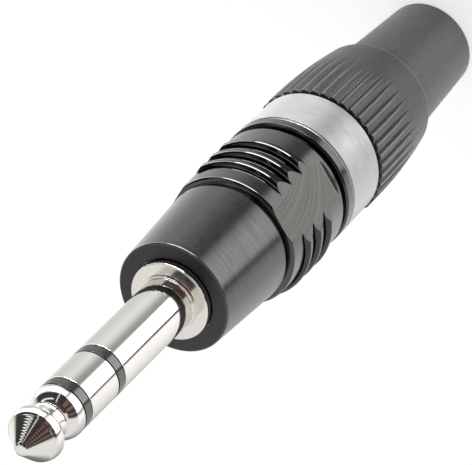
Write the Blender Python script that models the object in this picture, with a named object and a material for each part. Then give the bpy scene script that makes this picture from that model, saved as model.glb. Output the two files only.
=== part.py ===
"""Stereo jack plug, 6.35 mm, with a conical metal housing and a screwed cable boot.

The plug stands on the open end of its cable sleeve. Its axis is Z, the tip points up
and Z = 0 is the rear face of the sleeve. Sizes are in millimetres until they are built.
"""
import math

import bmesh
import bpy

MM = 0.001

# Fits between neighbouring pieces
FIT = 0.1            # pressed and stacked pieces of the contact set
SLIP = 0.2           # pieces that slide into the housing
RUN = 0.25           # pieces that turn or slide in use
THREAD_PLAY = 0.3    # radial play that stands for the thread between nut and housing

# Facets round the axis
HULL_SEGMENTS = 44
SHAFT_SEGMENTS = 28
CORE_SEGMENTS = 20
FLUTE_FACETS = 3

# Contact set
SHAFT_R = 3.175
SHAFT_EDGE = 0.1
BOSS_STEP = 0.175
BOSS_LENGTH = 0.4
COLLAR_SHOULDER = 1.545
COLLAR_LENGTH = 1.4
COLLAR_PROUD = 0.9
COLLAR_GAP = 0.12
COLLAR_NECK_GAP = 0.3
SLEEVE_CONTACT_LENGTH = 14.45
INSULATOR_LENGTH = 1.3
RING_CONTACT_LENGTH = 5.4
STOP_FLANGE_LENGTH = 1.0
STUB_LENGTH = 1.6
ROD_R = 0.75
TUBE_WALL = 0.4
RING_WALL = 0.45

# Tip, measured forward from its rear face
TIP_LENGTH = 8.35
TIP_ROUND = 1.15
TIP_PROUD = 0.025
BULB_AT = 0.7
NECK_DEPTH = 1.15
NECK_AT = 2.6
HEAD_AT = 4.6
HEAD_ROUND = 0.75
CONE_SHOULDER = 0.38
CONE_HALF_ANGLE = 41.0

# Solder end
LUG_THICKNESS = 0.5
LUG_WIDTH = 0.75
WASHER_THICKNESS = 0.8
LUG_TAIL_WIDTH = 1.6
LUG_TAIL_THICKNESS = 0.45
GROUND_TAIL_LENGTH = 7.0
RING_TAIL_LENGTH = 5.0
TIP_TAIL_LENGTH = 4.0
RIVET_EDGE = 0.6
RIVET_LENGTH = 0.7

# Retaining ring, liner and carrier
RETAINER_THICKNESS = 0.7
RETAINER_WALL = 1.0
RETAINER_DEPTH = 0.45
RETAINER_MOUTH = 2.4
LINER_WALL = 0.25
CARRIER_WALL = 0.7
CARRIER_LENGTH = 11.0
CARRIER_CAP = 1.2
WINDOW_WIDTH = 3.6
WINDOW_START = 2.0
WINDOW_END = 1.4

# Housing
STOP_SEAT = 0.76
KEY_DEPTH = 0.35
REGISTER_WALL = 0.85
BAND_WALL = 1.16
BAND_LENGTH = 2.65
RIDGE_COUNT = 3
RIDGE_PITCH = 2.42
RIDGE_HEIGHT = 0.54
RIDGE_FRONT = 0.65
LAST_RIDGE_REAR = 1.1
SHOULDER_LENGTH = 2.46
SHOULDER_DROP = 0.09
NECK_GROOVE_DEPTH = 0.45
NECK_GROOVE_LENGTH = 0.65
NOSE_LENGTH = 12.0
NOSE_WALL = 1.1
NOSE_TAPER = 0.7
EDGE_ROUND = 0.25
FLAT_DEPTH = 0.36
FLAT_STEP = 0.72
FLANGE_HEIGHT = 1.26
FLANGE_LENGTH = 1.25
FLANGE_CHAMFER = 0.2
WAIST_DEPTH = 0.96
WAIST_LENGTH = 0.9
WAIST_EDGE = 0.15
MOUTH_LENGTH = 2.15
THREAD_RELIEF = 0.8
THREAD_RELIEF_DEPTH = 0.2

# Coding ring
RING_LENGTH = 6.4
RING_TAPER = 0.13
RING_CHAMFER = 0.25
RING_GAP = 0.35

# Boot nut
NUT_LENGTH = 13.5
NUT_OVERHANG = 0.11
NUT_TAPER = 0.72
NUT_BELLY = 1.87
NUT_TAIL_ROUND = 0.52
NUT_TAIL_LENGTH = 0.5
FLUTE_COUNT = 40
FLUTE_DEPTH = 0.3
FLUTE_FREE = 4.4
FLUTE_AZIMUTH = 2.1
SPIGOT_WALL = 0.95
THREAD_LENGTH = 7.2
THREAD_CHAMFER = 0.3
CONE_LENGTH = 7.0
CONE_OFFSET = 1.1

# Chuck
CHUCK_WALL = 1.35
CHUCK_TOOTH = 0.25
CHUCK_TEETH = 3
CHUCK_TOOTH_PITCH = 1.6
CHUCK_TOOTH_LAND = 0.4
CHUCK_LEAD = 0.5
CHUCK_DEPTH_IN_CONE = 4.5
CHUCK_SLOT = 0.9
CHUCK_SLOT_LENGTH = 12.0
KEY_WIDTH = 2.0
KEY_LENGTH = 3.0
KEY_ROOT = 0.4

# Cable sleeve
CABLE_EASE = 0.3
BORE_CHAMFER = 0.3
SLEEVE_LENGTH = 14.0
SLEEVE_STEP = 0.73
SLEEVE_TAPER = 0.82
SLEEVE_EDGE = 0.5
SLEEVE_LIP_WALL = 2.0
SLEEVE_LIP_DEPTH = 0.5
SLEEVE_LIP_LENGTH = 1.0
SLEEVE_NECK_LENGTH = 1.75

# Radii, from the tip's rod out to the shaft
ROD_TUBE_IN_R = ROD_R + FIT
ROD_TUBE_R = ROD_TUBE_IN_R + TUBE_WALL
RING_TUBE_IN_R = ROD_TUBE_R + FIT
RING_TUBE_R = RING_TUBE_IN_R + RING_WALL
OUTER_TUBE_IN_R = RING_TUBE_R + FIT
OUTER_TUBE_R = OUTER_TUBE_IN_R + TUBE_WALL
SLEEVE_BORE_R = OUTER_TUBE_R + FIT
LUG_R = SLEEVE_BORE_R + LUG_WIDTH
WASHER_R = LUG_R - SLIP
TAIL_IN_R = LUG_R + RUN
TAIL_OUT_R = TAIL_IN_R + LUG_TAIL_THICKNESS
STUB_R = TAIL_OUT_R + FIT
RIVET_R = ROD_R + RIVET_EDGE
HEAD_R = SHAFT_R + TIP_PROUD
NECK_R = HEAD_R - NECK_DEPTH
CONE_BASE_R = HEAD_R - CONE_SHOULDER
BOSS_R = SHAFT_R + BOSS_STEP
COLLAR_R = SHAFT_R + COLLAR_SHOULDER

# Radii, from the collar out to the housing and nut
MOUTH_R = COLLAR_R + COLLAR_GAP
BORE_R = MOUTH_R + STOP_SEAT
RETAINER_GROOVE_R = BORE_R + RETAINER_DEPTH
RETAINER_R = RETAINER_GROOVE_R - FIT
LINER_R = BORE_R - SLIP
CARRIER_R = LINER_R - LINER_WALL - SLIP
NOSE_FRONT_R = BORE_R + NOSE_WALL
NOSE_REAR_R = NOSE_FRONT_R + NOSE_TAPER
NECK_GROOVE_R = NOSE_REAR_R - NECK_GROOVE_DEPTH
THREAD_BORE_R = BORE_R + KEY_DEPTH
THREAD_R = THREAD_BORE_R - THREAD_PLAY
REGISTER_R = THREAD_BORE_R + REGISTER_WALL
BAND_R = REGISTER_R + BAND_WALL
SHOULDER_FRONT_R = BAND_R - SHOULDER_DROP
RIDGE_CREST_R = BAND_R + RIDGE_HEIGHT
FLAT_DISTANCE = BAND_R - FLAT_DEPTH
WAIST_R = BAND_R - WAIST_DEPTH
FLANGE_R = REGISTER_R + FLANGE_HEIGHT
RING_REAR_R = FLANGE_R - RING_TAPER
NUT_RIM_R = FLANGE_R + NUT_OVERHANG
NUT_END_R = NUT_RIM_R - NUT_TAPER
NUT_TAIL_R = NUT_END_R - NUT_TAIL_ROUND
NUT_BORE_R = THREAD_R - SPIGOT_WALL
CHUCK_R = NUT_BORE_R - RUN
CHUCK_GRIP_R = CHUCK_R - CHUCK_WALL
CABLE_BORE_R = CHUCK_GRIP_R + CABLE_EASE
SLEEVE_ROOT_R = NUT_TAIL_R - SLEEVE_STEP
SLEEVE_END_R = SLEEVE_ROOT_R - SLEEVE_TAPER
SLEEVE_LIP_R = CABLE_BORE_R + SLEEVE_LIP_WALL
SLEEVE_NECK_R = SLEEVE_LIP_R - SLEEVE_LIP_DEPTH

# Heights of the joins, from the rear end up
FLUTE_LENGTH = NUT_LENGTH - FLUTE_FREE
NUT_TAIL_Z = SLEEVE_LENGTH + SLIP
NUT_RIM_Z = NUT_TAIL_Z + NUT_LENGTH
THREAD_TOP_Z = NUT_RIM_Z + THREAD_LENGTH
LIP_POCKET_Z = NUT_TAIL_Z + SLEEVE_NECK_LENGTH - SLIP
LIP_POCKET_TOP_Z = LIP_POCKET_Z + SLEEVE_LIP_LENGTH + 2 * SLIP
CONE_START_Z = LIP_POCKET_TOP_Z + CONE_OFFSET
CONE_END_Z = CONE_START_Z + CONE_LENGTH
RING_REAR_Z = NUT_RIM_Z + RING_GAP
FLANGE_REAR_Z = RING_REAR_Z + RING_LENGTH + FIT
FLANGE_FRONT_Z = FLANGE_REAR_Z + FLANGE_LENGTH
BAND_REAR_Z = FLANGE_FRONT_Z + WAIST_LENGTH
BAND_FRONT_Z = BAND_REAR_Z + BAND_LENGTH
LAST_CREST_Z = BAND_FRONT_Z + LAST_RIDGE_REAR
SHOULDER_REAR_Z = LAST_CREST_Z + (RIDGE_COUNT - 1) * RIDGE_PITCH + RIDGE_FRONT
SHOULDER_FRONT_Z = SHOULDER_REAR_Z + SHOULDER_LENGTH
NOSE_REAR_Z = SHOULDER_FRONT_Z + NECK_GROOVE_LENGTH
FACE_Z = NOSE_REAR_Z + NOSE_LENGTH
COLLAR_Z = FACE_Z + COLLAR_PROUD
SLEEVE_TOP_Z = COLLAR_Z + BOSS_LENGTH + SLEEVE_CONTACT_LENGTH
REAR_INSULATOR_Z = SLEEVE_TOP_Z + FIT
RING_CONTACT_Z = REAR_INSULATOR_Z + INSULATOR_LENGTH + FIT
FRONT_INSULATOR_Z = RING_CONTACT_Z + RING_CONTACT_LENGTH + FIT
TIP_Z = FRONT_INSULATOR_Z + INSULATOR_LENGTH + FIT
STOP_Z = FACE_Z - MOUTH_LENGTH
STOP_FLANGE_Z = STOP_Z - SLIP - STOP_FLANGE_LENGTH
STUB_Z = STOP_FLANGE_Z - STUB_LENGTH
GROUND_LUG_Z = STUB_Z - FIT - LUG_THICKNESS
FRONT_WASHER_Z = GROUND_LUG_Z - FIT - WASHER_THICKNESS
RING_LUG_Z = FRONT_WASHER_Z - FIT - LUG_THICKNESS
REAR_WASHER_Z = RING_LUG_Z - FIT - WASHER_THICKNESS
TIP_LUG_Z = REAR_WASHER_Z - FIT - LUG_THICKNESS
RETAINER_Z = STOP_FLANGE_Z - FIT - RETAINER_THICKNESS
CARRIER_TOP_Z = RETAINER_Z - 2 * FIT
CARRIER_CAP_Z = CARRIER_TOP_Z - CARRIER_CAP
CARRIER_Z = CARRIER_TOP_Z - CARRIER_LENGTH
CHUCK_TOP_Z = CARRIER_Z - RUN
CHUCK_END_Z = CONE_END_Z - CHUCK_DEPTH_IN_CONE

MERGE = 1e-7
SHARP_ANGLE = math.radians(28)


def clear_scene():
    """Remove every object that the scene starts with."""
    for item in list(bpy.data.objects):
        bpy.data.objects.remove(item, do_unlink=True)


def finish(name, colour, roughness, metallic):
    """Return a Principled material."""
    made = bpy.data.materials.new(name)
    made.use_nodes = True
    shader = made.node_tree.nodes["Principled BSDF"]
    shader.inputs["Base Color"].default_value = (*colour, 1.0)
    shader.inputs["Roughness"].default_value = roughness
    shader.inputs["Metallic"].default_value = metallic
    return made


def add_object(name, mesh, look=None, parent=None):
    """Link a mesh as a named object, smooth on its round faces."""
    mesh.shade_smooth()
    mesh.set_sharp_from_angle(angle=SHARP_ANGLE)
    item = bpy.data.objects.new(name, mesh)
    bpy.context.collection.objects.link(item)
    if look:
        mesh.materials.append(look)
    item.parent = parent
    return item


def add_frame(name):
    """Add an empty on the plug's axis for the pieces of one moving group."""
    item = bpy.data.objects.new(name, None)
    bpy.context.collection.objects.link(item)
    return item


def mesh_from(bm, name):
    """Close, clean and store a bmesh."""
    bmesh.ops.remove_doubles(bm, verts=bm.verts, dist=MERGE)
    bmesh.ops.dissolve_degenerate(bm, dist=MERGE, edges=bm.edges)
    bmesh.ops.recalc_face_normals(bm, faces=bm.faces)
    mesh = bpy.data.meshes.new(name)
    bm.to_mesh(mesh)
    bm.free()
    return mesh


def turned(name, outline, segments, look=None, parent=None):
    """Spin an (r, z) outline round Z. It is closed unless it starts on the axis."""
    bm = bmesh.new()
    verts = [bm.verts.new((r * MM, 0.0, z * MM)) for r, z in outline]
    edges = [bm.edges.new(pair) for pair in zip(verts, verts[1:])]
    if outline[0][0] > 0.0:
        edges.append(bm.edges.new((verts[-1], verts[0])))
    bmesh.ops.spin(bm, geom=verts + edges, cent=(0, 0, 0), axis=(0, 0, 1), angle=math.tau,
                   steps=segments, use_merge=True)
    return add_object(name, mesh_from(bm, name), look, parent)


def tube(r_in, r_out, z_low, z_high):
    """Return the outline of a plain tube or washer."""
    return [(r_in, z_high), (r_out, z_high), (r_out, z_low), (r_in, z_low)]


def arc(centre_r, centre_z, radius_r, radius_z, start, end, steps):
    """Return points on an elliptical arc; 0 degrees points outward and 90 points up."""
    angles = [math.radians(start + (end - start) * i / steps) for i in range(steps + 1)]
    return [(centre_r + radius_r * math.cos(a), centre_z + radius_z * math.sin(a)) for a in angles]


def box(name, low, high):
    """Add a helper box for cutting or joining, given by two corners."""
    bm = bmesh.new()
    bmesh.ops.create_cube(bm, size=1.0)
    for vert in bm.verts:
        for k in range(3):
            side = high[k] if vert.co[k] > 0 else low[k]
            vert.co[k] = side * MM
    return as_helper(add_object(name, mesh_from(bm, name)))


def as_helper(item):
    """Mark an object as a cutter or filler that isn't a piece."""
    item.hide_render = True
    item.display_type = "WIRE"
    return item


def combine(item, helper, operation):
    """Add an exact boolean of item with helper."""
    step = item.modifiers.new(helper.name, "BOOLEAN")
    step.operation = operation
    step.solver = "EXACT"
    step.object = helper


def cable_sleeve_outline():
    """Return the soft sleeve with the neck and lip that hold it in the nut."""
    lip_z = SLEEVE_LENGTH + SLEEVE_NECK_LENGTH + SLIP
    lip_top = lip_z + SLEEVE_LIP_LENGTH
    collar = [(CABLE_BORE_R, lip_top), (SLEEVE_LIP_R, lip_top), (SLEEVE_LIP_R, lip_z),
              (SLEEVE_NECK_R, lip_z), (SLEEVE_NECK_R, SLEEVE_LENGTH), (SLEEVE_ROOT_R, SLEEVE_LENGTH)]
    end = arc(SLEEVE_END_R - SLEEVE_EDGE, SLEEVE_EDGE, SLEEVE_EDGE, SLEEVE_EDGE, 0, -90, 3)
    mouth = [(CABLE_BORE_R + BORE_CHAMFER, 0.0), (CABLE_BORE_R, BORE_CHAMFER)]
    return collar + end + mouth


def nut_radius(depth):
    """Return the nut's radius at a depth below its rim, before the flutes."""
    span = NUT_LENGTH - NUT_TAIL_LENGTH
    if depth <= span:
        return NUT_RIM_R - NUT_TAPER * (depth / span) ** NUT_BELLY
    turn = (depth - span) / NUT_TAIL_LENGTH
    return NUT_TAIL_R + NUT_TAIL_ROUND * math.sqrt(1.0 - turn * turn)


def flute_depth(depth):
    """Return how deep the flutes are at a depth below the rim: even, then run out round."""
    fade = min(1.0, max(0.0, (FLUTE_LENGTH - depth) / (0.3 * FLUTE_LENGTH)))
    return FLUTE_DEPTH * math.sin(fade * math.pi / 2)


def nut_body():
    """Return the nut's fluted outside as a closed mesh. Each flute rises steeply on one side."""
    bm = bmesh.new()
    depths = [FLUTE_LENGTH * k for k in (0.0, 0.5, 0.72, 0.88, 1.0)]
    depths += [NUT_LENGTH - NUT_TAIL_LENGTH * k for k in (1.0, 0.45, 0.1, 0.0)]
    count = FLUTE_FACETS * FLUTE_COUNT
    rings = []
    for depth in depths:
        ring = []
        for i in range(count):
            angle = math.radians(FLUTE_AZIMUTH) + math.tau * i / count
            share = (i % FLUTE_FACETS) / FLUTE_FACETS
            r = nut_radius(depth) - flute_depth(depth) * (1.0 - 1.5 * share)
            ring.append(bm.verts.new((r * MM * math.cos(angle), r * MM * math.sin(angle),
                                      (NUT_RIM_Z - depth) * MM)))
        rings.append(ring)
    for upper, lower in zip(rings, rings[1:]):
        for i, vert in enumerate(upper):
            j = (i + 1) % count
            bm.faces.new((lower[i], lower[j], upper[j], vert))
    bm.faces.new(rings[0])
    bm.faces.new(list(reversed(rings[-1])))
    return mesh_from(bm, "boot_nut")


def add_nut(look, parent):
    """Add the boot nut: a fluted body with a threaded spigot and a conical bore."""
    item = add_object("boot_nut", nut_body(), look, parent)
    root_z = NUT_RIM_Z - 1.0
    spigot = turned("spigot_filler", [(0.0, THREAD_TOP_Z), (THREAD_R - THREAD_CHAMFER, THREAD_TOP_Z),
                                      (THREAD_R, THREAD_TOP_Z - THREAD_CHAMFER), (THREAD_R, root_z),
                                      (0.0, root_z)], HULL_SEGMENTS)
    combine(item, as_helper(spigot), "UNION")
    neck_r = SLEEVE_NECK_R + SLIP
    pocket_r = SLEEVE_LIP_R + SLIP
    bore = turned("nut_bore_cutter", [(0.0, THREAD_TOP_Z + 1.0), (NUT_BORE_R, THREAD_TOP_Z + 1.0),
                                      (NUT_BORE_R, CONE_END_Z), (CABLE_BORE_R, CONE_START_Z),
                                      (CABLE_BORE_R, LIP_POCKET_TOP_Z), (pocket_r, LIP_POCKET_TOP_Z),
                                      (pocket_r, LIP_POCKET_Z), (neck_r, LIP_POCKET_Z),
                                      (neck_r, NUT_TAIL_Z - 1.0), (0.0, NUT_TAIL_Z - 1.0)],
                  HULL_SEGMENTS)
    combine(item, as_helper(bore), "DIFFERENCE")
    return item


def chuck_outline():
    """Return the chuck: a tube with a tapered end and grip teeth in its bore."""
    slope = (NUT_BORE_R - CABLE_BORE_R) / CONE_LENGTH
    end_r = CABLE_BORE_R + slope * (CHUCK_END_Z - CONE_START_Z) - RUN
    inner = [(CHUCK_GRIP_R, CHUCK_END_Z)]
    tooth_r = CHUCK_GRIP_R + CHUCK_TOOTH
    first = CHUCK_END_Z + CHUCK_LEAD
    for i in range(CHUCK_TEETH):
        z = first + i * CHUCK_TOOTH_PITCH
        inner += [(CHUCK_GRIP_R, z), (tooth_r, z + CHUCK_TOOTH),
                  (tooth_r, z + CHUCK_TOOTH_PITCH - CHUCK_TOOTH_LAND)]
    inner += [(CHUCK_GRIP_R, first + CHUCK_TEETH * CHUCK_TOOTH_PITCH), (CHUCK_GRIP_R, CHUCK_TOP_Z)]
    return [(CHUCK_R, CHUCK_TOP_Z), (CHUCK_R, CONE_END_Z), (end_r, CHUCK_END_Z)] + inner


def add_chuck(look, parent):
    """Add the chuck with two crossing slots and two keys."""
    item = turned("chuck", chuck_outline(), HULL_SEGMENTS - 8, look, parent)
    key_low = CHUCK_TOP_Z - KEY_LENGTH
    key_r = THREAD_BORE_R - RUN
    for name, side in (("key_filler_right", 1), ("key_filler_left", -1)):
        near, far = sorted((side * (CHUCK_R - KEY_ROOT), side * key_r))
        key = box(name, (near, -KEY_WIDTH / 2, key_low), (far, KEY_WIDTH / 2, CHUCK_TOP_Z))
        combine(item, key, "UNION")
    reach = CHUCK_R + 1.0
    half = CHUCK_SLOT / 2
    low = CHUCK_END_Z - 1.0
    high = CHUCK_END_Z + CHUCK_SLOT_LENGTH
    combine(item, box("slot_cutter_x", (-reach, -half, low), (reach, half, high)), "DIFFERENCE")
    combine(item, box("slot_cutter_y", (-half, -reach, low), (half, reach, high)), "DIFFERENCE")
    return item


def coding_ring_outline():
    """Return the coding ring, chamfered at both ends."""
    z_high = RING_REAR_Z + RING_LENGTH
    inner_r = REGISTER_R + RUN
    half = RING_CHAMFER / 2
    return [(inner_r, z_high), (FLANGE_R - RING_CHAMFER, z_high), (FLANGE_R, z_high - RING_CHAMFER),
            (RING_REAR_R, RING_REAR_Z + half), (RING_REAR_R - half, RING_REAR_Z), (inner_r, RING_REAR_Z)]


def ridge(z_crest, fall):
    """Return one grip ridge: steep to the front, easing down over fall to the rear."""
    return [(BAND_R, z_crest + RIDGE_FRONT),
            (RIDGE_CREST_R - 0.65 * RIDGE_HEIGHT, z_crest + 0.72 * RIDGE_FRONT),
            (RIDGE_CREST_R - 0.15 * RIDGE_HEIGHT, z_crest + 0.35 * RIDGE_FRONT),
            (RIDGE_CREST_R, z_crest),
            (RIDGE_CREST_R - 0.25 * RIDGE_HEIGHT, z_crest - 0.4 * fall),
            (RIDGE_CREST_R - 0.7 * RIDGE_HEIGHT, z_crest - 0.75 * fall)]


def housing_outer():
    """Return the housing's outer side from the front face down to the register's end."""
    nose = arc(NOSE_FRONT_R - EDGE_ROUND, FACE_Z - EDGE_ROUND, EDGE_ROUND, EDGE_ROUND, 90, 0, 2)
    half = EDGE_ROUND / 2
    neck = [(NOSE_REAR_R, NOSE_REAR_Z + half), (NOSE_REAR_R - half, NOSE_REAR_Z),
            (NECK_GROOVE_R, NOSE_REAR_Z - half), (NECK_GROOVE_R, SHOULDER_FRONT_Z + half),
            (SHOULDER_FRONT_R - EDGE_ROUND, SHOULDER_FRONT_Z), (SHOULDER_FRONT_R, SHOULDER_FRONT_Z - EDGE_ROUND)]
    ridges = []
    for i in reversed(range(RIDGE_COUNT)):
        fall = RIDGE_PITCH - RIDGE_FRONT if i else LAST_RIDGE_REAR
        ridges += ridge(LAST_CREST_Z + i * RIDGE_PITCH, fall)
    band = [(BAND_R, BAND_FRONT_Z), (BAND_R, BAND_REAR_Z + WAIST_EDGE), (BAND_R - WAIST_EDGE, BAND_REAR_Z),
            (WAIST_R, BAND_REAR_Z - WAIST_EDGE), (WAIST_R, FLANGE_FRONT_Z + WAIST_EDGE)]
    flange = [(FLANGE_R - FLANGE_CHAMFER, FLANGE_FRONT_Z), (FLANGE_R, FLANGE_FRONT_Z - FLANGE_CHAMFER),
              (FLANGE_R, FLANGE_REAR_Z)]
    register = [(REGISTER_R, FLANGE_REAR_Z), (REGISTER_R, RING_REAR_Z)]
    return nose + neck + ridges + band + flange + register


def housing_inner():
    """Return the housing's bores from the register's end up to the mouth."""
    relief_z = THREAD_TOP_Z + THREAD_RELIEF
    relief_r = THREAD_BORE_R + THREAD_RELIEF_DEPTH
    groove_z = RETAINER_Z - FIT
    return [(THREAD_BORE_R, RING_REAR_Z), (THREAD_BORE_R, THREAD_TOP_Z), (relief_r, THREAD_TOP_Z),
            (relief_r, relief_z), (BORE_R, relief_z), (BORE_R, groove_z), (RETAINER_GROOVE_R, groove_z),
            (RETAINER_GROOVE_R, STOP_FLANGE_Z), (BORE_R, STOP_FLANGE_Z), (BORE_R, STOP_Z),
            (MOUTH_R, STOP_Z), (MOUTH_R, FACE_Z)]


def add_housing(look, parent):
    """Add the housing with its two spanner flats and two keyways."""
    item = turned("housing", housing_outer() + housing_inner(), HULL_SEGMENTS, look, parent)
    low = BAND_REAR_Z + FLAT_STEP
    high = (SHOULDER_FRONT_Z + NOSE_REAR_Z) / 2
    reach = RIDGE_CREST_R + 1.0
    for name, side in (("flat_cutter_back", 1), ("flat_cutter_front", -1)):
        near, far = sorted((side * FLAT_DISTANCE, side * reach))
        combine(item, box(name, (-reach, near, low), (reach, far, high)), "DIFFERENCE")
    half = KEY_WIDTH / 2 + RUN
    keyway = box("keyway_cutter", (-THREAD_BORE_R, -half, THREAD_TOP_Z + THREAD_RELIEF / 2),
                 (THREAD_BORE_R, half, CHUCK_TOP_Z + RUN))
    combine(item, keyway, "DIFFERENCE")
    return item


def tip_outline():
    """Return the tip contact: rounded cone, head, neck, bulb, rod and riveted end."""
    half_angle = math.radians(CONE_HALF_ANGLE)
    centre_z = TIP_Z + TIP_LENGTH - TIP_ROUND
    apex_z = centre_z + TIP_ROUND / math.sin(half_angle)
    cone_base_z = apex_z - CONE_BASE_R / math.tan(half_angle)
    nose = arc(0.0, centre_z, TIP_ROUND, TIP_ROUND, 90, CONE_HALF_ANGLE, 3)
    nose[0] = (0.0, TIP_Z + TIP_LENGTH)
    head_z = TIP_Z + HEAD_AT
    head = arc(HEAD_R - HEAD_ROUND, head_z, HEAD_ROUND, cone_base_z - head_z + 0.2, 60, 0, 3)
    waist = TIP_Z + NECK_AT
    lower = arc(NECK_R, head_z, HEAD_R - NECK_R, HEAD_AT - NECK_AT - 0.4, -25, -90, 3)
    bulb = arc(NECK_R, TIP_Z + BULB_AT, HEAD_R - NECK_R, NECK_AT - BULB_AT, 90, 0, 5)
    rear = [(SHAFT_R - SHAFT_EDGE, TIP_Z), (ROD_R, TIP_Z), (ROD_R, TIP_LUG_Z - FIT)]
    rivet = arc(0.0, TIP_LUG_Z - FIT, RIVET_R, RIVET_LENGTH, 0, -90, 3)
    rivet[-1] = (0.0, TIP_LUG_Z - FIT - RIVET_LENGTH)
    return nose + head + lower + [(NECK_R, waist + 0.2)] + bulb + rear + rivet


def insulator_outline(z_low, r_in):
    """Return a black insulating ring with small chamfers."""
    z_high = z_low + INSULATOR_LENGTH
    edge_r = SHAFT_R - SHAFT_EDGE
    return [(r_in, z_high), (edge_r, z_high), (SHAFT_R, z_high - SHAFT_EDGE),
            (SHAFT_R, z_low + SHAFT_EDGE), (edge_r, z_low), (r_in, z_low)]


def ring_contact_outline():
    """Return the ring contact with the tube that carries it to its solder lug."""
    z_high = RING_CONTACT_Z + RING_CONTACT_LENGTH
    edge_r = SHAFT_R - SHAFT_EDGE
    return [(RING_TUBE_IN_R, z_high), (edge_r, z_high), (SHAFT_R, z_high - SHAFT_EDGE),
            (SHAFT_R, RING_CONTACT_Z + SHAFT_EDGE), (edge_r, RING_CONTACT_Z),
            (RING_TUBE_R, RING_CONTACT_Z), (RING_TUBE_R, RING_LUG_Z), (RING_TUBE_IN_R, RING_LUG_Z)]


def sleeve_contact_outline():
    """Return the shaft with its boss, collar, stop flange and rear stub."""
    neck_r = MOUTH_R - COLLAR_NECK_GAP
    collar_low = COLLAR_Z - COLLAR_LENGTH
    shaft = [(SLEEVE_BORE_R, SLEEVE_TOP_Z), (SHAFT_R - SHAFT_EDGE, SLEEVE_TOP_Z),
             (SHAFT_R, SLEEVE_TOP_Z - SHAFT_EDGE), (SHAFT_R, COLLAR_Z + BOSS_LENGTH),
             (BOSS_R, COLLAR_Z + BOSS_LENGTH), (BOSS_R, COLLAR_Z)]
    rim = arc(COLLAR_R - EDGE_ROUND, COLLAR_Z - EDGE_ROUND, EDGE_ROUND, EDGE_ROUND, 90, 0, 3)
    flange_r = BORE_R - SLIP
    flange_top = STOP_Z - SLIP
    rear = [(COLLAR_R, collar_low), (neck_r, collar_low), (neck_r, flange_top), (flange_r, flange_top),
            (flange_r, STOP_FLANGE_Z), (STUB_R, STOP_FLANGE_Z), (STUB_R, STUB_Z), (SLEEVE_BORE_R, STUB_Z)]
    return shaft + rim + rear


def add_lug(name, z_low, hole_r, azimuth, tail_length, look, parent):
    """Add a stamped solder lug: a flat ring with one tail bent down towards the cable."""
    z_high = z_low + LUG_THICKNESS
    item = turned(name, tube(hole_r, LUG_R, z_low, z_high), CORE_SEGMENTS, look, parent)
    half = LUG_TAIL_WIDTH / 2
    arm = box(name + "_arm", (LUG_R - RUN, -half, z_low), (TAIL_OUT_R, half, z_high))
    tail = box(name + "_tail", (TAIL_IN_R, -half, z_low - tail_length), (TAIL_OUT_R, half, z_high - FIT))
    for helper in (arm, tail):
        helper.parent = parent
        helper.rotation_euler[2] = math.radians(azimuth)
        combine(item, helper, "UNION")
    return item


def add_retainer(look, parent):
    """Add the open spring ring that holds the contact set in the housing."""
    inner_r = RETAINER_R - RETAINER_WALL
    item = turned("retaining_ring", tube(inner_r, RETAINER_R, RETAINER_Z, RETAINER_Z + RETAINER_THICKNESS),
                  HULL_SEGMENTS - 8, look, parent)
    half = RETAINER_MOUTH / 2
    mouth = box("retainer_mouth_cutter", (-half, 0.0, RETAINER_Z - 1.0),
                (half, RETAINER_R + 1.0, RETAINER_Z + RETAINER_THICKNESS + 1.0))
    combine(item, mouth, "DIFFERENCE")
    return item


def add_carrier(look, parent):
    """Add the moulded carrier: a cup that opens to the cable, with windows for soldering."""
    inner_r = CARRIER_R - CARRIER_WALL
    hole_r = STUB_R + FIT
    outline = [(hole_r, CARRIER_TOP_Z), (CARRIER_R, CARRIER_TOP_Z), (CARRIER_R, CARRIER_Z),
               (inner_r, CARRIER_Z), (inner_r, CARRIER_CAP_Z), (hole_r, CARRIER_CAP_Z)]
    item = turned("insert_carrier", outline, HULL_SEGMENTS - 8, look, parent)
    half = WINDOW_WIDTH / 2
    reach = CARRIER_R + 1.0
    window = box("window_cutter", (-reach, -half, CARRIER_Z + WINDOW_START),
                 (reach, half, CARRIER_CAP_Z - WINDOW_END))
    combine(item, window, "DIFFERENCE")
    return item


def add_contact_set(nickel, insulator, tinned, parent):
    """Add the contacts, their insulation and the riveted solder end."""
    turned("tip_contact", tip_outline(), SHAFT_SEGMENTS, nickel, parent)
    turned("front_insulator", insulator_outline(FRONT_INSULATOR_Z, RING_TUBE_IN_R), SHAFT_SEGMENTS,
           insulator, parent)
    turned("ring_contact", ring_contact_outline(), SHAFT_SEGMENTS, nickel, parent)
    turned("rear_insulator", insulator_outline(REAR_INSULATOR_Z, OUTER_TUBE_IN_R), SHAFT_SEGMENTS,
           insulator, parent)
    turned("sleeve_contact", sleeve_contact_outline(), SHAFT_SEGMENTS, nickel, parent)
    turned("rod_tube", tube(ROD_TUBE_IN_R, ROD_TUBE_R, REAR_WASHER_Z, FRONT_INSULATOR_Z - FIT),
           CORE_SEGMENTS, insulator, parent)
    turned("ring_tube", tube(OUTER_TUBE_IN_R, OUTER_TUBE_R, FRONT_WASHER_Z, REAR_INSULATOR_Z - FIT),
           CORE_SEGMENTS, insulator, parent)
    add_lug("ground_lug", GROUND_LUG_Z, SLEEVE_BORE_R, 90, GROUND_TAIL_LENGTH, tinned, parent)
    turned("front_washer", tube(SLEEVE_BORE_R, WASHER_R, FRONT_WASHER_Z, FRONT_WASHER_Z + WASHER_THICKNESS),
           CORE_SEGMENTS, insulator, parent)
    add_lug("ring_lug", RING_LUG_Z, RING_TUBE_R + FIT, 210, RING_TAIL_LENGTH, tinned, parent)
    turned("rear_washer", tube(ROD_TUBE_R + FIT, WASHER_R, REAR_WASHER_Z, REAR_WASHER_Z + WASHER_THICKNESS),
           CORE_SEGMENTS, insulator, parent)
    add_lug("tip_lug", TIP_LUG_Z, ROD_R + FIT, 330, TIP_TAIL_LENGTH, tinned, parent)


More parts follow.
